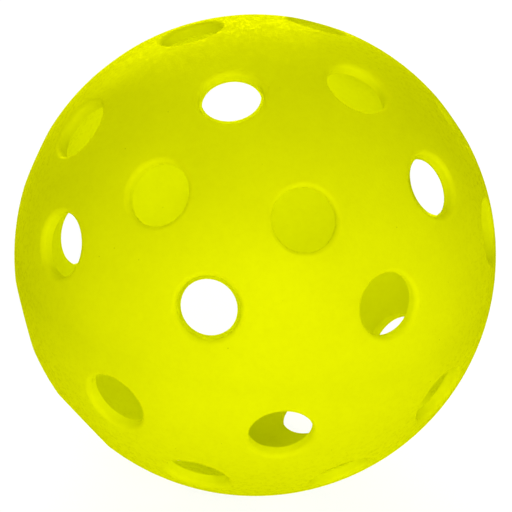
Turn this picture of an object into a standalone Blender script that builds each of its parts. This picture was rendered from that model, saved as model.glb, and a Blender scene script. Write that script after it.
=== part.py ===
"""Perforated game ball in two moulded halves, joined at a stepped rim by a weld.

The origin is the ball's centre and +Z runs through the middle of the upper half, so the weld lies in the XY
plane. All lengths are in metres and all angles in degrees.
"""

import math
from collections import namedtuple

import bmesh
import bpy
from mathutils import Vector

# Ball
BALL_DIAMETER = 0.074
WALL = 0.002

# Holes: straight bores with a rounded outer lip
HOLE_DIAMETER = 0.0096
LIP_ROUNDING = 0.0007

# Stepped joint: a thin lip of the upper half stands inside the recessed rim of the lower half
JOINT_CLEARANCE = 0.0003
REGISTER_LIP_THICKNESS = 0.0008
REGISTER_LIP_HEIGHT = 0.0014

# Bead of remelted plastic round the inside of the joint
WELD_BEAD_WIDTH = 0.0024
WELD_BEAD_HEIGHT = 0.0007

# Rows of holes. Each half has the same rows, and each row starts at its own azimuth in either half.
Row = namedtuple("Row", "latitude holes upper_start lower_start")
ROWS = {
    "seam": Row(latitude=16.2, holes=8, upper_start=0.0, lower_start=21.9),
    "middle": Row(latitude=38.4, holes=8, upper_start=23.5, lower_start=-1.3),
    "polar": Row(latitude=67.0, holes=4, upper_start=28.4, lower_start=-0.5),
}

# Place of an eye that looks straight through the ball, measured from its centre
SIGHT_AZIMUTH = -125.0
SIGHT_ELEVATION = 29.8
SIGHT_DISTANCE = 0.6

# Holes that leave their place in the row and stand straight behind a front hole, seen from that eye.
# Each place is (half, row, number in the row).
STRAIGHT_BEHIND = {
    ("upper", "seam", 0): ("upper", "middle", 6),
    ("upper", "seam", 1): ("upper", "polar", 2),
    ("lower", "middle", 2): ("upper", "seam", 5),
}

# Holes turned along their rows by these angles: front holes that stand a little out of the even spacing,
# far holes that show through a front one or stay hidden from it, and a neighbour of the holes above, which
# keeps a sound web
TURNED_ASIDE = {
    ("upper", "polar", 2): 3.0,
    ("upper", "middle", 6): 2.3,
    ("upper", "seam", 7): 3.5,
    ("lower", "seam", 4): 1.0,
    ("lower", "seam", 5): -1.5,
    ("lower", "middle", 0): -2.0,
    ("lower", "middle", 1): -4.0,
    ("lower", "middle", 7): -3.0,
    ("lower", "polar", 2): -8.0,
}

# Fineness of the round shapes
TURN_STEPS = 40
OUTER_ARC_STEPS = 10
INNER_ARC_STEPS = 8
HOLE_STEPS = 18
LIP_STEPS = 2
BEAD_STEPS = 4

# How far a cutter runs past what it cuts, outside and inside
CUTTER_OVERRUN = 0.001

# Finish of the moulded plastic, and the edge angle from which it is shaded sharp
LIME = (0.75, 0.81, 0.01, 1.0)
LIME_ROUGHNESS = 0.45
SHARP_EDGE = 35

# Sizes that follow from the ones above
OUTER_RADIUS = BALL_DIAMETER / 2
INNER_RADIUS = OUTER_RADIUS - WALL
HOLE_RADIUS = HOLE_DIAMETER / 2
HALF_CLEARANCE = JOINT_CLEARANCE / 2
REGISTER_RADIUS = INNER_RADIUS + REGISTER_LIP_THICKNESS
RECESS_RADIUS = REGISTER_RADIUS + JOINT_CLEARANCE
LIP_END = -REGISTER_LIP_HEIGHT
RECESS_FLOOR = LIP_END - JOINT_CLEARANCE


def clear_scene():
    for item in list(bpy.data.objects):
        bpy.data.objects.remove(item, do_unlink=True)


def direction(latitude, azimuth):
    """Unit vector from the ball's centre."""
    level = math.cos(math.radians(latitude))
    turn = math.radians(azimuth)
    return Vector((level * math.cos(turn), level * math.sin(turn), math.sin(math.radians(latitude))))


def row_direction(half, row_name, number):
    """Direction of a hole at its place in a row."""
    row = ROWS[row_name]
    turn = number * 360 / row.holes + TURNED_ASIDE.get((half, row_name, number), 0)
    if half == "upper":
        return direction(row.latitude, row.upper_start + turn)
    return direction(-row.latitude, row.lower_start + turn)


def hole_directions():
    """Directions of all the holes of the ball."""
    eye = direction(SIGHT_ELEVATION, SIGHT_AZIMUTH) * SIGHT_DISTANCE / OUTER_RADIUS
    directions = []
    for half in ("upper", "lower"):
        for row_name, row in ROWS.items():
            for number in range(row.holes):
                place = (half, row_name, number)
                if place in STRAIGHT_BEHIND:
                    front = row_direction(*STRAIGHT_BEHIND[place])
                    to_eye = (eye - front).normalized()
                    directions.append(front - 2 * front.dot(to_eye) * to_eye)
                else:
                    directions.append(row_direction(*place))
    return directions


def arc(radius, start, end, steps):
    """(distance from the axis, height) points on a circle round the centre, by latitude."""
    points = []
    for index in range(steps + 1):
        angle = math.radians(start + (end - start) * index / steps)
        points.append((radius * math.cos(angle), radius * math.sin(angle)))
    return points


def latitude_at(radius, height):
    return math.degrees(math.asin(height / radius))


def turned_solid(name, profile, steps, closed):
    """Mesh turned about Z from a profile that runs down its outer side. An open profile ends on the axis."""
    body = bmesh.new()
    rings = []
    for distance, height in profile:
        if distance == 0:
            rings.append([body.verts.new((0, 0, height))])
            continue
        ring = []
        for index in range(steps):
            turn = 2 * math.pi * index / steps
            ring.append(body.verts.new((distance * math.cos(turn), distance * math.sin(turn), height)))
        rings.append(ring)
    pairs = list(zip(rings, rings[1:]))
    if closed:
        pairs.append((rings[-1], rings[0]))
    for upper, lower in pairs:
        for index in range(steps):
            after = (index + 1) % steps
            corners = [upper[index % len(upper)], lower[index % len(lower)]]
            if len(lower) > 1:
                corners.append(lower[after])
            if len(upper) > 1:
                corners.append(upper[after])
            body.faces.new(corners)
    mesh = bpy.data.meshes.new(name)
    body.to_mesh(mesh)
    body.free()
    return mesh


def lime_plastic(name):
    material = bpy.data.materials.new(name)
    material.use_nodes = True
    shader = material.node_tree.nodes["Principled BSDF"]
    shader.inputs["Base Color"].default_value = LIME
    shader.inputs["Roughness"].default_value = LIME_ROUGHNESS
    shader.inputs["Metallic"].default_value = 0.0
    material.diffuse_color = LIME
    return material


def add_object(name, mesh):
    item = bpy.data.objects.new(name, mesh)
    bpy.context.scene.collection.objects.link(item)
    return item


def upper_profile():
    """Outer skin from the pole down, flat rim, register lip, inner skin back up to the pole."""
    rim_angle = latitude_at(OUTER_RADIUS, HALF_CLEARANCE)
    outer = [(0, OUTER_RADIUS)] + arc(OUTER_RADIUS, 90, rim_angle, OUTER_ARC_STEPS)[1:]
    lip = [
        (REGISTER_RADIUS, HALF_CLEARANCE),
        (REGISTER_RADIUS, LIP_END),
        (INNER_RADIUS, LIP_END),
    ]
    inner = arc(INNER_RADIUS, 0, 90, INNER_ARC_STEPS)[:-1] + [(0, INNER_RADIUS)]
    return outer + lip + inner


def lower_profile():
    """Inner skin from the pole up, recess for the register lip, flat rim, outer skin down to the pole."""
    rim_angle = latitude_at(OUTER_RADIUS, -HALF_CLEARANCE)
    floor_angle = latitude_at(INNER_RADIUS, RECESS_FLOOR)
    inner = [(0, -INNER_RADIUS)] + arc(INNER_RADIUS, -90, floor_angle, INNER_ARC_STEPS)[1:]
    recess = [
        (RECESS_RADIUS, RECESS_FLOOR),
        (RECESS_RADIUS, -HALF_CLEARANCE),
    ]
    outer = arc(OUTER_RADIUS, rim_angle, -90, OUTER_ARC_STEPS)[:-1] + [(0, -OUTER_RADIUS)]
    return inner + recess + outer


def bead_profile():
    """Low rounded ridge against the inner skin, over the gap between the register lip and the recess."""
    top = (LIP_END + RECESS_FLOOR + WELD_BEAD_WIDTH) / 2
    bottom = top - WELD_BEAD_WIDTH
    upper_seat = INNER_RADIUS - JOINT_CLEARANCE
    lower_seat = math.sqrt(INNER_RADIUS ** 2 - bottom ** 2) - JOINT_CLEARANCE
    profile = [(upper_seat, top), (lower_seat, bottom)]
    for index in range(BEAD_STEPS + 1):
        share = index / BEAD_STEPS
        rise = WELD_BEAD_HEIGHT * (1 + math.sin(math.pi * share)) / 2
        profile.append((lower_seat - rise, bottom + WELD_BEAD_WIDTH * share))
    return profile


def cutter_profile():
    """Bore with a rounded lip, along +Z, from outside the ball to inside it."""
    lip_distance = HOLE_RADIUS + LIP_ROUNDING
    lip_reach = OUTER_RADIUS - LIP_ROUNDING
    lip_height = math.sqrt(lip_reach ** 2 - lip_distance ** 2)
    lean = math.asin(lip_distance / lip_reach)
    edge_distance = OUTER_RADIUS * math.sin(lean)
    top = OUTER_RADIUS + CUTTER_OVERRUN
    inner_end = math.sqrt(INNER_RADIUS ** 2 - HOLE_RADIUS ** 2)
    bottom = inner_end - JOINT_CLEARANCE - WELD_BEAD_HEIGHT - CUTTER_OVERRUN
    profile = [(0, top), (edge_distance, top)]
    start = math.pi / 2 - lean
    for index in range(LIP_STEPS + 1):
        angle = start + (math.pi - start) * index / LIP_STEPS
        distance = lip_distance + LIP_ROUNDING * math.cos(angle)
        height = lip_height + LIP_ROUNDING * math.sin(angle)
        profile.append((distance, height))
    return profile + [(HOLE_RADIUS, bottom), (0, bottom)]


def hole_cutter():
    """All the bores of the ball in one helper, which the build leaves out."""
    bore = turned_solid("hole_cutter", cutter_profile(), HOLE_STEPS, closed=False)
    bores = bmesh.new()
    for way in hole_directions():
        copy = bore.copy()
        copy.transform(way.to_track_quat("Z", "Y").to_matrix().to_4x4())
        bores.from_mesh(copy)
        bpy.data.meshes.remove(copy)
    bores.to_mesh(bore)
    bores.free()
    cutter = add_object("hole_cutter", bore)
    cutter.hide_render = True
    cutter.display_type = "WIRE"
    return cutter


def drilled_piece(name, profile, cutter, closed=False):
    """Turned piece with every bore that crosses it cut out."""
    mesh = turned_solid(name, profile, TURN_STEPS, closed)
    mesh.materials.append(lime_plastic(name + "_plastic"))
    mesh.shade_smooth()
    mesh.set_sharp_from_angle(angle=math.radians(SHARP_EDGE))
    piece = add_object(name, mesh)
    cut = piece.modifiers.new("holes", "BOOLEAN")
    cut.operation = "DIFFERENCE"
    cut.solver = "EXACT"
    cut.object = cutter
    return piece


def main():
    clear_scene()
    ball = bpy.data.objects.new("ball", None)
    bpy.context.scene.collection.objects.link(ball)
    cutter = hole_cutter()
    pieces = [
        drilled_piece("upper_half_shell", upper_profile(), cutter),
        drilled_piece("lower_half_shell", lower_profile(), cutter),
        drilled_piece("weld_bead", bead_profile(), cutter, closed=True),
    ]
    for piece in pieces + [cutter]:
        piece.parent = ball


main()
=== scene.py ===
"""Looks of a perforated game ball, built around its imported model.

The origin is the ball's centre and +Z runs through the middle of the upper half, so the weld lies in the
XY plane. Lengths are in metres, and the angles named here at the top are in degrees.
"""

import math
from collections import namedtuple

import bmesh
import bpy
import numpy as np
from mathutils import Matrix, Vector


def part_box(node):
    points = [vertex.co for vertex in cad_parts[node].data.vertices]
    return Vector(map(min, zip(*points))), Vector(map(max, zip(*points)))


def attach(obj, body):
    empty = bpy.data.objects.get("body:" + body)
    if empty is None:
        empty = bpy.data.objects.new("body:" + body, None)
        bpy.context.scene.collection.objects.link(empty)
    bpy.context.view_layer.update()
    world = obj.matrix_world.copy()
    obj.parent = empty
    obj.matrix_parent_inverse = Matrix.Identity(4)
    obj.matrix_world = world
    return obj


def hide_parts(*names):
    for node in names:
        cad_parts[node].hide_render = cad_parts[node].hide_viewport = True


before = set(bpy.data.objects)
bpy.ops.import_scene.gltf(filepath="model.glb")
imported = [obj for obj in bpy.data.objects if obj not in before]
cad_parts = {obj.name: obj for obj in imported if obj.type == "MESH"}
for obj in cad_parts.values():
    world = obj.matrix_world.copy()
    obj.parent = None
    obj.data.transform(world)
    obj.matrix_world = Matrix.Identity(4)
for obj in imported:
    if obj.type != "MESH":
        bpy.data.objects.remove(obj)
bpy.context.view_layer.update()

# Ball
OUTER_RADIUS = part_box("upper_half_shell")[1].z
WALL = 0.002

# Holes: straight bores with a rounded outer lip and a small rounding inside
HOLE_DIAMETER = 0.0096
LIP_ROUNDING = 0.0007
INNER_ROUNDING = 0.0003

# Stepped joint: a thin lip of the upper half stands inside the recessed rim of the lower half
REGISTER_LIP_THICKNESS = 0.0008
REGISTER_LIP_HEIGHT = 0.0014
JOINT_CLEARANCE = 0.000004

# Groove that the joint leaves on the outer skin
GROOVE_WIDTH = 0.0001
GROOVE_DEPTH = 0.000015

# Bead of remelted plastic round the inside of the joint: its size, the share of its height by which it
# swells and sinks, the counts of these waves, and the edge angle from which it is shaded sharp
WELD_BEAD_WIDTH = 0.0024
WELD_BEAD_HEIGHT = 0.0007
BEAD_UNEVENNESS = 0.2
BEAD_WAVES = (7, 19, 43)
BEAD_SHARP_EDGE = 40

# Rows of holes. Each half has the same rows, and each row starts at its own azimuth in either half.
Row = namedtuple("Row", "latitude holes upper_start lower_start")
ROWS = {
    "seam": Row(latitude=16.2, holes=8, upper_start=0.0, lower_start=21.9),
    "middle": Row(latitude=38.4, holes=8, upper_start=23.5, lower_start=-1.3),
    "polar": Row(latitude=67.0, holes=4, upper_start=28.4, lower_start=-0.5),
}

# Place of the eye, measured from the ball's centre, and the ball's lean to the right as the eye sees it
EYE_AZIMUTH = -125.0
EYE_ELEVATION = 29.8
EYE_DISTANCE = 0.6
LEAN = 5.4

# Holes that leave their place in the row and stand straight behind a front hole, seen from that eye.
# Each place is (half, row, number in the row).
STRAIGHT_BEHIND = {
    ("upper", "seam", 0): ("upper", "middle", 6),
    ("upper", "seam", 1): ("upper", "polar", 2),
    ("lower", "middle", 2): ("upper", "seam", 5),
}

# Holes turned along their rows by these angles: front holes that stand a little out of the even spacing,
# far holes that show through a front one or stay hidden from it, and a neighbour of the holes above,
# which keeps a sound web
TURNED_ASIDE = {
    ("upper", "polar", 2): 3.0,
    ("upper", "middle", 6): 2.3,
    ("upper", "seam", 7): 3.5,
    ("lower", "seam", 4): 1.0,
    ("lower", "seam", 5): -1.5,
    ("lower", "middle", 0): -2.0,
    ("lower", "middle", 1): -4.0,
    ("lower", "middle", 7): -3.0,
    ("lower", "polar", 2): -8.0,
}

# Fineness of the round shapes
TURN_STEPS = 160
SKIN_STEPS = 40
HOLE_STEPS = 48
LIP_STEPS = 6
INNER_LIP_STEPS = 3
BEAD_STEPS = 8

# How far a cutter runs past what it cuts, outside and inside
CUTTER_OVERRUN = 0.001

# A face counts as skin if more than this share of its normal runs along the radius
SKIN_FACING = 0.95

# Least distance to divide by
NEARLY_ZERO = 1e-9

# Lime plastic: two tones that drift into each other, and the share of light that passes through
Plastic = namedtuple("Plastic", "pale deep light_through")
SHELL_PLASTIC = Plastic(pale=(0.90, 0.93, 0.0004, 1), deep=(0.86, 0.885, 0.0004, 1), light_through=0.56)
# Paler tones and a larger share of light through, for the joint faces and the bead: painted light that
# keeps the joint from leaving a darker band in the wall
LIGHTENED_JOINT_PLASTIC = Plastic(pale=(0.98, 0.99, 0.0004, 1), deep=(0.95, 0.965, 0.0004, 1), light_through=0.95)

# Noise in the plastic: the size of its features, and how many finer layers it has
Noise = namedtuple("Noise", "size detail")
CLOUDS = Noise(size=0.02, detail=3.0)
MOTTLE = Noise(size=0.0009, detail=4.0)
GRAIN = Noise(size=0.0003, detail=2.0)
FROSTING = Noise(size=0.0004, detail=1.0)

# Share of the mottle in the drift between the tones, the span of the drift that they fill, and the
# height of the grain
MOTTLE_SHARE = 0.25
DRIFT_SPAN = (0.3, 0.7)
GRAIN_HEIGHT = 0.00003

# Specks: their tone, radius and spacing, and the share of the radius that has the full tone
SPECK_TONE = (0.50, 0.54, 0.0004, 1)
SPECK_RADIUS = 0.0001
SPECK_SPACING = 0.003
SPECK_CORE = 0.5

# Lime gloss: its tint, its share straight on and at a glancing angle, the power by which it grows
# towards that angle, and its roughness
GLOSS_TINT = (1.0, 1.0, 0.0, 1)
GLOSS_STRAIGHT = 0.004
GLOSS_GLANCING = 0.17
GLOSS_POWER = 4.5
GLOSS_ROUGHNESS = (0.2, 0.35)

# Glints of the frosting: the span of its noise over which they grow, and how they scale the gloss
GLINT_SPAN = (0.5, 0.62)
GLINT_SCALE = (0.4, 2.6)

# World: its tone, its light on the ball, and how bright it is seen
WORLD_TONE = (1, 1, 1, 1)
WORLD_LIGHT = 0.24
WORLD_SEEN = 1.0

# Paper floor: its side, its tone as it lights the ball, and the tone and glow with which it is seen
FLOOR_SIDE = 3.0
PAPER = (0.95, 0.95, 0.95, 1)
PAPER_SEEN = (0.2, 0.2, 0.2, 1)
PAPER_GLOW = 0.86

# Lamps that face the ball: azimuth from the eye to the right, elevation, distance, width, height, watts
Lamp = namedtuple("Lamp", "azimuth elevation distance width height watts")
LAMPS = {
    "front": Lamp(azimuth=10, elevation=17, distance=0.8, width=0.5, height=0.6, watts=5.75),
    "back": Lamp(azimuth=194, elevation=24, distance=0.8, width=0.6, height=0.7, watts=7.8),
}

# Picture frame: its side in pixels, and the ball's radius and centre in it
PICTURE_SIDE = 512
BALL_RADIUS_PX = 240.94
BALL_CENTRE_PX = (255.13, 255.17)

# How far the camera sees
SIGHT_END = 20.0

# Sizes that follow from the ones above
INNER_RADIUS = OUTER_RADIUS - WALL
HOLE_RADIUS = HOLE_DIAMETER / 2
HALF_CLEARANCE = JOINT_CLEARANCE / 2
REGISTER_RADIUS = INNER_RADIUS + REGISTER_LIP_THICKNESS
RECESS_RADIUS = REGISTER_RADIUS + JOINT_CLEARANCE
LIP_END = -REGISTER_LIP_HEIGHT
RECESS_FLOOR = LIP_END - JOINT_CLEARANCE

# Middle of the lip's round, as distance from the hole's axis and height along it, and the lip's edge
LIP_DISTANCE = HOLE_RADIUS + LIP_ROUNDING
LIP_HEIGHT = math.sqrt((OUTER_RADIUS - LIP_ROUNDING) ** 2 - LIP_DISTANCE ** 2)
LIP_EDGE = LIP_DISTANCE * OUTER_RADIUS / (OUTER_RADIUS - LIP_ROUNDING)

# The same for the rounding inside
INNER_LIP_DISTANCE = HOLE_RADIUS + INNER_ROUNDING
INNER_LIP_HEIGHT = math.sqrt((INNER_RADIUS + INNER_ROUNDING) ** 2 - INNER_LIP_DISTANCE ** 2)
INNER_LIP_EDGE = INNER_LIP_DISTANCE * INNER_RADIUS / (INNER_RADIUS + INNER_ROUNDING)


def direction(latitude, azimuth):
    """Unit vector from the ball's centre."""
    level = math.cos(math.radians(latitude))
    turn = math.radians(azimuth)
    return Vector((level * math.cos(turn), level * math.sin(turn), math.sin(math.radians(latitude))))


def row_direction(half, row_name, number):
    """Direction of a hole at its place in a row."""
    row = ROWS[row_name]
    turn = number * 360 / row.holes + TURNED_ASIDE.get((half, row_name, number), 0)
    if half == "upper":
        return direction(row.latitude, row.upper_start + turn)
    return direction(-row.latitude, row.lower_start + turn)


def hole_directions():
    """Directions of all the holes of the ball."""
    eye = direction(EYE_ELEVATION, EYE_AZIMUTH) * EYE_DISTANCE / OUTER_RADIUS
    directions = []
    for half in ("upper", "lower"):
        for row_name, row in ROWS.items():
            for number in range(row.holes):
                place = (half, row_name, number)
                if place in STRAIGHT_BEHIND:
                    front = row_direction(*STRAIGHT_BEHIND[place])
                    to_eye = (eye - front).normalized()
                    # Where the line from the eye through the front hole leaves the ball
                    directions.append(front - 2 * front.dot(to_eye) * to_eye)
                else:
                    directions.append(row_direction(*place))
    return directions


def round_points(distance, height, radius, start, end, steps):
    """(distance from an axis, height) points on an arc round a middle, by angle in radians."""
    points = []
    for index in range(steps + 1):
        angle = start + (end - start) * index / steps
        points.append((distance + radius * math.cos(angle), height + radius * math.sin(angle)))
    return points


def skin(radius, start, end):
    """Points of a spherical skin, between two latitudes in radians."""
    return round_points(0, 0, radius, start, end, SKIN_STEPS)


def turned_mesh(name, profile, steps, closed):
    """Mesh turned about Z from a profile that runs down its outer side, and if open ends on the axis."""
    body = bmesh.new()
    rings = []
    for distance, height in profile:
        if distance == 0:
            rings.append([body.verts.new((0, 0, height))])
            continue
        ring = []
        for index in range(steps):
            turn = 2 * math.pi * index / steps
            ring.append(body.verts.new((distance * math.cos(turn), distance * math.sin(turn), height)))
        rings.append(ring)
    pairs = list(zip(rings, rings[1:]))
    if closed:
        pairs.append((rings[-1], rings[0]))
    for upper, lower in pairs:
        for index in range(steps):
            after = (index + 1) % steps
            corners = [upper[index % len(upper)], lower[index % len(lower)]]
            if len(lower) > 1:
                corners.append(lower[after])
            if len(upper) > 1:
                corners.append(upper[after])
            body.faces.new(corners)
    mesh = bpy.data.meshes.new(name)
    body.to_mesh(mesh)
    body.free()
    return mesh


def add_object(name, data):
    item = bpy.data.objects.new(name, data)
    bpy.context.scene.collection.objects.link(item)
    return item


def upper_profile():
    """Outer skin from the pole down, groove, flat rim, register lip, inner skin back up to the pole."""
    skin_end = math.asin(GROOVE_WIDTH / 2 / OUTER_RADIUS)
    outer = [(0, OUTER_RADIUS)] + skin(OUTER_RADIUS, math.pi / 2, skin_end)[1:]
    joint = [
        (OUTER_RADIUS - GROOVE_DEPTH, HALF_CLEARANCE),
        (REGISTER_RADIUS, HALF_CLEARANCE),
        (REGISTER_RADIUS, LIP_END),
        (INNER_RADIUS, LIP_END),
    ]
    inner = skin(INNER_RADIUS, 0, math.pi / 2)[:-1] + [(0, INNER_RADIUS)]
    return outer + joint + inner


def lower_profile():
    """Inner skin from the pole up, recess for the register lip, rim, groove, outer skin to the pole."""
    floor_angle = math.asin(RECESS_FLOOR / INNER_RADIUS)
    skin_start = -math.asin(GROOVE_WIDTH / 2 / OUTER_RADIUS)
    inner = [(0, -INNER_RADIUS)] + skin(INNER_RADIUS, -math.pi / 2, floor_angle)[1:]
    joint = [
        (RECESS_RADIUS, RECESS_FLOOR),
        (RECESS_RADIUS, -HALF_CLEARANCE),
        (OUTER_RADIUS - GROOVE_DEPTH, -HALF_CLEARANCE),
    ]
    outer = skin(OUTER_RADIUS, skin_start, -math.pi / 2)[:-1] + [(0, -OUTER_RADIUS)]
    return inner + joint + outer


def bead_profile():
    """Low rounded ridge against the inner skin, over the inner end of the joint."""
    top = (LIP_END + RECESS_FLOOR + WELD_BEAD_WIDTH) / 2
    bottom = top - WELD_BEAD_WIDTH
    upper_seat = INNER_RADIUS - JOINT_CLEARANCE
    lower_seat = math.sqrt(INNER_RADIUS ** 2 - bottom ** 2) - JOINT_CLEARANCE
    profile = [(upper_seat, top), (lower_seat, bottom)]
    for index in range(1, BEAD_STEPS):
        share = index / BEAD_STEPS
        rise = WELD_BEAD_HEIGHT * math.sin(math.pi * share)
        profile.append((lower_seat - rise, bottom + WELD_BEAD_WIDTH * share))
    return profile


def cutter_profile():
    """Bore with rounded lips, along +Z, from outside the ball to inside it."""
    top = OUTER_RADIUS + CUTTER_OVERRUN
    bottom = INNER_LIP_HEIGHT - WELD_BEAD_HEIGHT - CUTTER_OVERRUN
    lip_start = math.acos(LIP_DISTANCE / (OUTER_RADIUS - LIP_ROUNDING))
    inner_lip_end = math.pi + math.acos(INNER_LIP_DISTANCE / (INNER_RADIUS + INNER_ROUNDING))
    lip = round_points(LIP_DISTANCE, LIP_HEIGHT, LIP_ROUNDING, lip_start, math.pi, LIP_STEPS)
    inner_lip = round_points(
        INNER_LIP_DISTANCE, INNER_LIP_HEIGHT, INNER_ROUNDING, math.pi, inner_lip_end, INNER_LIP_STEPS
    )
    return [(0, top), (LIP_EDGE, top)] + lip + inner_lip + [(INNER_LIP_EDGE, bottom), (0, bottom)]


def hole_cutter(directions):
    """All the bores of the ball in one helper."""
    bore = turned_mesh("hole_cutter", cutter_profile(), HOLE_STEPS, closed=False)
    bores = bmesh.new()
    for way in directions:
        copy = bore.copy()
        copy.transform(way.to_track_quat("Z", "Y").to_matrix().to_4x4())
        bores.from_mesh(copy)
        bpy.data.meshes.remove(copy)
    bores.to_mesh(bore)
    bores.free()
    return add_object("hole_cutter", bore)


def drilled_mesh(name, mesh, cutter):
    """The mesh with every bore that crosses it cut out."""
    blank = add_object(name + "_blank", mesh)
    cut = blank.modifiers.new("holes", "BOOLEAN")
    cut.operation = "DIFFERENCE"
    cut.solver = "EXACT"
    cut.object = cutter
    depsgraph = bpy.context.evaluated_depsgraph_get()
    drilled = bpy.data.meshes.new_from_object(blank.evaluated_get(depsgraph))
    drilled.name = name
    bpy.data.objects.remove(blank, do_unlink=True)
    return drilled


def vectors(items, attribute):
    """A vector attribute of mesh elements as an array with a row for each."""
    values = np.empty(len(items) * 3)
    items.foreach_get(attribute, values)
    return values.reshape(-1, 3)


def unit(rows):
    return rows / np.linalg.norm(rows, axis=1, keepdims=True)


def from_axes(places, axes):
    """Height of each place along the axis in its row, and its offset from that axis."""
    heights = np.einsum("ij,ij->i", places, axes)
    return heights, places - heights[:, None] * axes


def corners_of(mesh):
    """The vertex and the face of each corner of a mesh."""
    vertices = np.empty(len(mesh.loops), dtype=np.int32)
    mesh.loops.foreach_get("vertex_index", vertices)
    counts = np.empty(len(mesh.polygons), dtype=np.int32)
    mesh.polygons.foreach_get("loop_total", counts)
    return vertices, np.repeat(np.arange(len(counts)), counts)


def hole_normals(places, axes):
    """Normals at places on the lips and the bore of a hole, whose axis is in the same row."""
    height, offset = from_axes(places, axes)
    distance = np.linalg.norm(offset, axis=1)
    sideways = offset / np.maximum(distance, NEARLY_ZERO)[:, None]
    across = np.full(len(height), -1.0)
    along = np.zeros(len(height))
    for middle_distance, middle_height, rounded in (
        (LIP_DISTANCE, LIP_HEIGHT, height > LIP_HEIGHT),
        (INNER_LIP_DISTANCE, INNER_LIP_HEIGHT, height < INNER_LIP_HEIGHT),
    ):
        across = np.where(rounded, distance - middle_distance, across)
        along = np.where(rounded, height - middle_height, along)
    return unit(across[:, None] * sideways + along[:, None] * axes)


def shade_by_form(mesh, directions):
    """Sets the normals of the true skins, lips and bores. Returns which faces lie in the joint."""
    mesh.shade_smooth()
    axes = np.array(directions)
    centres = vectors(mesh.polygons, "center")
    face_normals = vectors(mesh.polygons, "normal")
    outward = unit(centres)
    nearest = axes[(outward @ axes.T).argmax(axis=1)]
    distances = np.linalg.norm(from_axes(centres, nearest)[1], axis=1)
    outside = np.linalg.norm(centres, axis=1) > (OUTER_RADIUS + INNER_RADIUS) / 2
    in_hole = distances < np.where(outside, LIP_EDGE, INNER_LIP_EDGE)
    facing = np.einsum("ij,ij->i", face_normals, outward)
    on_skin = (np.abs(facing) > SKIN_FACING) & ~in_hole

    vertices, face = corners_of(mesh)
    places = vectors(mesh.vertices, "co")[vertices]
    skin_normals = unit(places) * np.sign(facing[face])[:, None]
    normals = np.where(on_skin[face][:, None], skin_normals, face_normals[face])
    normals = np.where(in_hole[face][:, None], hole_normals(places, nearest[face]), normals)
    mesh.normals_split_custom_set(normals.tolist())
    return ~on_skin & ~in_hole


def uneven(mesh):
    """Lets the bead's ridge swell and sink round the joint, as remelted plastic does."""
    for vertex in mesh.vertices:
        distance = vertex.co.xy.length
        turn = math.atan2(vertex.co.y, vertex.co.x)
        wave = sum(math.sin(count * turn + count) for count in BEAD_WAVES) / len(BEAD_WAVES)
        rise = max(0.0, INNER_RADIUS - JOINT_CLEARANCE - distance)
        vertex.co.xy *= (distance - rise * BEAD_UNEVENNESS * wave) / distance


def feed(tree, socket, value):
    """Gives a socket its value or its source."""
    if isinstance(value, bpy.types.NodeSocket):
        tree.links.new(value, socket)
    else:
        socket.default_value = value


def add_node(tree, kind, settings=None, **inputs):
    """A node with its settings and what its sockets get. A socket's name has _ for each space."""
    node = tree.nodes.new(kind)
    for name, value in (settings or {}).items():
        setattr(node, name, value)
    for name, value in inputs.items():
        feed(tree, node.inputs[name.replace("_", " ")], value)
    return node


def calculate(tree, operation, *values):
    """Output of a math node with these values or sources."""
    node = add_node(tree, "ShaderNodeMath", {"operation": operation})
    for socket, value in zip(node.inputs, values):
        feed(tree, socket, value)
    return node.outputs["Value"]


def noise(tree, place, pattern):
    """Output of a noise pattern."""
    node = add_node(
        tree, "ShaderNodeTexNoise", Vector=place, Scale=1 / pattern.size, Detail=pattern.detail
    )
    return node.outputs["Fac"]


def spread(tree, value, start=(0, 1), end=(0, 1)):
    """A value carried from one span over to another, and kept inside it."""
    node = add_node(
        tree, "ShaderNodeMapRange", Value=value,
        From_Min=start[0], From_Max=start[1], To_Min=end[0], To_Max=end[1],
    )
    return node.outputs["Result"]


def mixed(tree, kind, share, first, second):
    """Mix of two values or colours, with this share of the second."""
    node = add_node(tree, "ShaderNodeMix", {"data_type": kind}, Factor=share, A=first, B=second)
    return node.outputs["Result"]


def mixed_shaders(tree, share, first, second):
    """Mix of two shaders, with this share of the second."""
    node = add_node(tree, "ShaderNodeMixShader", Fac=share)
    tree.links.new(first, node.inputs[1])
    tree.links.new(second, node.inputs[2])
    return node.outputs["Shader"]


def cloudy_colour(tree, place, mottle, plastic):
    """The two tones of a plastic in clouds with a fine mottle, and specks over them."""
    drift = mixed(tree, "FLOAT", MOTTLE_SHARE, noise(tree, place, CLOUDS), mottle)
    tone = mixed(tree, "RGBA", spread(tree, drift, DRIFT_SPAN), plastic.deep, plastic.pale)
    cells = add_node(tree, "ShaderNodeTexVoronoi", Vector=place, Scale=1 / SPECK_SPACING)
    reach = SPECK_RADIUS / SPECK_SPACING
    speck = spread(tree, cells.outputs["Distance"], (reach, reach * SPECK_CORE))
    return mixed(tree, "RGBA", speck, tone, SPECK_TONE)


def grain_normal(tree, place):
    """Normal of the frosted grain."""
    grain = noise(tree, place, GRAIN)
    bump = add_node(tree, "ShaderNodeBump", Distance=GRAIN_HEIGHT, Height=grain)
    return bump.outputs["Normal"]


def gloss_share(tree, place):
    """Share of the gloss, which grows towards a glancing angle and glints with the frosting."""
    slant = add_node(tree, "ShaderNodeLayerWeight").outputs["Facing"]
    glancing = calculate(tree, "POWER", slant, GLOSS_POWER)
    share = spread(tree, glancing, end=(GLOSS_STRAIGHT, GLOSS_GLANCING))
    glints = spread(tree, noise(tree, place, FROSTING), GLINT_SPAN, GLINT_SCALE)
    return calculate(tree, "MULTIPLY", share, glints)


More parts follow.
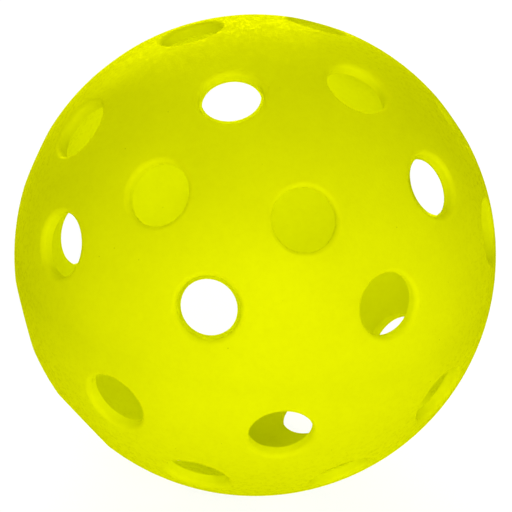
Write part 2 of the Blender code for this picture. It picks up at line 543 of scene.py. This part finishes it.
def lime_plastic(name, plastic):
    """Cloudy, speckled plastic with a frosted grain and lime gloss, which lets some light through."""
    material = bpy.data.materials.new(name)
    material.use_nodes = True
    tree = material.node_tree
    place = add_node(tree, "ShaderNodeTexCoord").outputs["Object"]
    mottle = noise(tree, place, MOTTLE)
    colour = cloudy_colour(tree, place, mottle, plastic)
    roughness = spread(tree, mottle, end=GLOSS_ROUGHNESS)
    normal = grain_normal(tree, place)

    shader = tree.nodes["Principled BSDF"]
    feed(tree, shader.inputs["Base Color"], colour)
    feed(tree, shader.inputs["Roughness"], roughness)
    feed(tree, shader.inputs["Normal"], normal)
    feed(tree, shader.inputs["Specular IOR Level"], 0.0)
    through = add_node(tree, "ShaderNodeBsdfTranslucent", Color=colour, Normal=normal)
    gloss = add_node(
        tree, "ShaderNodeBsdfAnisotropic", Color=GLOSS_TINT, Roughness=roughness, Normal=normal
    )
    body = mixed_shaders(tree, plastic.light_through, shader.outputs["BSDF"], through.outputs["BSDF"])
    surface = mixed_shaders(tree, gloss_share(tree, place), body, gloss.outputs["BSDF"])
    tree.links.new(surface, tree.nodes["Material Output"].inputs["Surface"])
    return material


def shell_piece(name, node, profile, cutter, directions, plastics):
    mesh = drilled_mesh(name, turned_mesh(name, profile, TURN_STEPS, closed=False), cutter)
    in_joint = shade_by_form(mesh, directions)
    mesh.materials.clear()
    for plastic in plastics:
        mesh.materials.append(plastic)
    # Faces in the joint get the paler plastic, painted light that hides the joint's shade
    mesh.polygons.foreach_set("material_index", in_joint.astype(np.int32))
    piece = add_object(name, mesh)
    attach(piece, "root")
    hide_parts(node)


def bead_piece(cutter, material):
    mesh = turned_mesh("bead", bead_profile(), TURN_STEPS, closed=True)
    uneven(mesh)
    mesh = drilled_mesh("weld_ridge", mesh, cutter)
    mesh.shade_smooth()
    mesh.set_sharp_from_angle(angle=math.radians(BEAD_SHARP_EDGE))
    mesh.materials.clear()
    mesh.materials.append(material)
    piece = add_object("weld_ridge", mesh)
    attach(piece, "root")
    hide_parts("weld_bead")


def eye_axes():
    """The eye's right, up and back directions."""
    back = direction(EYE_ELEVATION, EYE_AZIMUTH)
    level = Vector((0, 0, 1)).cross(back).normalized()
    upright = back.cross(level)
    lean = math.radians(LEAN)
    right = math.cos(lean) * level + math.sin(lean) * upright
    up = math.cos(lean) * upright - math.sin(lean) * level
    return right, up, back


def add_camera():
    """Camera at the eye, moved aside so that the ball takes its place in the picture."""
    right, up, back = eye_axes()
    metres_per_px = OUTER_RADIUS / BALL_RADIUS_PX
    half = PICTURE_SIDE / 2
    aside = right * (half - BALL_CENTRE_PX[0]) * metres_per_px
    aside += up * (BALL_CENTRE_PX[1] - half) * metres_per_px
    data = bpy.data.cameras.new("camera")
    reach = math.sqrt(EYE_DISTANCE ** 2 - OUTER_RADIUS ** 2)
    data.lens = data.sensor_width * BALL_RADIUS_PX * reach / OUTER_RADIUS / PICTURE_SIDE
    data.clip_end = SIGHT_END
    camera = add_object("camera", data)
    turn = Matrix((right, up, back)).transposed().to_4x4()
    camera.matrix_world = Matrix.Translation(back * EYE_DISTANCE + aside) @ turn
    bpy.context.scene.camera = camera


def seen_share(tree):
    """1 for rays from the eye, off a glossy surface or through clear glass, else 0."""
    path = add_node(tree, "ShaderNodeLightPath").outputs
    clear = calculate(tree, "SUBTRACT", path["Is Transmission Ray"], path["Is Diffuse Ray"])
    sharp = calculate(tree, "MAXIMUM", path["Is Glossy Ray"], clear)
    return calculate(tree, "MAXIMUM", path["Is Camera Ray"], sharp)


def floor_paper():
    """Pale paper that looks white but keeps a faint shadow."""
    material = bpy.data.materials.new("floor")
    material.use_nodes = True
    tree = material.node_tree
    tree.nodes.clear()
    paper = add_node(tree, "ShaderNodeBsdfDiffuse", Color=PAPER)
    shaded = add_node(tree, "ShaderNodeBsdfDiffuse", Color=PAPER_SEEN)
    glow = add_node(tree, "ShaderNodeEmission", Strength=PAPER_GLOW)
    seen = add_node(tree, "ShaderNodeAddShader")
    tree.links.new(shaded.outputs["BSDF"], seen.inputs[0])
    tree.links.new(glow.outputs["Emission"], seen.inputs[1])
    surface = mixed_shaders(tree, seen_share(tree), paper.outputs["BSDF"], seen.outputs["Shader"])
    add_node(tree, "ShaderNodeOutputMaterial", Surface=surface)
    return material


def add_floor():
    half = FLOOR_SIDE / 2
    mesh = bpy.data.meshes.new("floor")
    corners = [(-half, -half, 0), (half, -half, 0), (half, half, 0), (-half, half, 0)]
    mesh.from_pydata(corners, [], [(0, 1, 2, 3)])
    mesh.materials.append(floor_paper())
    floor = add_object("floor", mesh)
    floor.location.z = -OUTER_RADIUS


def add_world():
    """Even light all round, which looks white."""
    world = bpy.data.worlds.new("studio")
    bpy.context.scene.world = world
    world.use_nodes = True
    tree = world.node_tree
    background = tree.nodes["Background"].inputs
    feed(tree, background["Color"], WORLD_TONE)
    feed(tree, background["Strength"], spread(tree, seen_share(tree), end=(WORLD_LIGHT, WORLD_SEEN)))


def add_lamps():
    for name, lamp in LAMPS.items():
        data = bpy.data.lights.new(name, "AREA")
        data.shape = "RECTANGLE"
        data.size = lamp.width
        data.size_y = lamp.height
        data.energy = lamp.watts
        item = add_object(name, data)
        way = direction(lamp.elevation, EYE_AZIMUTH + lamp.azimuth)
        item.location = way * lamp.distance
        item.rotation_euler = way.to_track_quat("Z", "Y").to_euler()


def main():
    directions = hole_directions()
    cutter = hole_cutter(directions)
    # The paler plastic of the joint faces and the bead is painted light that hides the joint's shade
    lightened_joint_plastic = lime_plastic("weld_plastic", LIGHTENED_JOINT_PLASTIC)
    plastics = (lime_plastic("shell_plastic", SHELL_PLASTIC), lightened_joint_plastic)
    shell_piece("upper_shell", "upper_half_shell", upper_profile(), cutter, directions, plastics)
    shell_piece("lower_shell", "lower_half_shell", lower_profile(), cutter, directions, plastics)
    bead_piece(cutter, lightened_joint_plastic)
    bpy.data.objects.remove(cutter, do_unlink=True)
    add_camera()
    add_floor()
    add_world()
    add_lamps()
    bpy.context.scene.view_settings.view_transform = "Standard"


main()
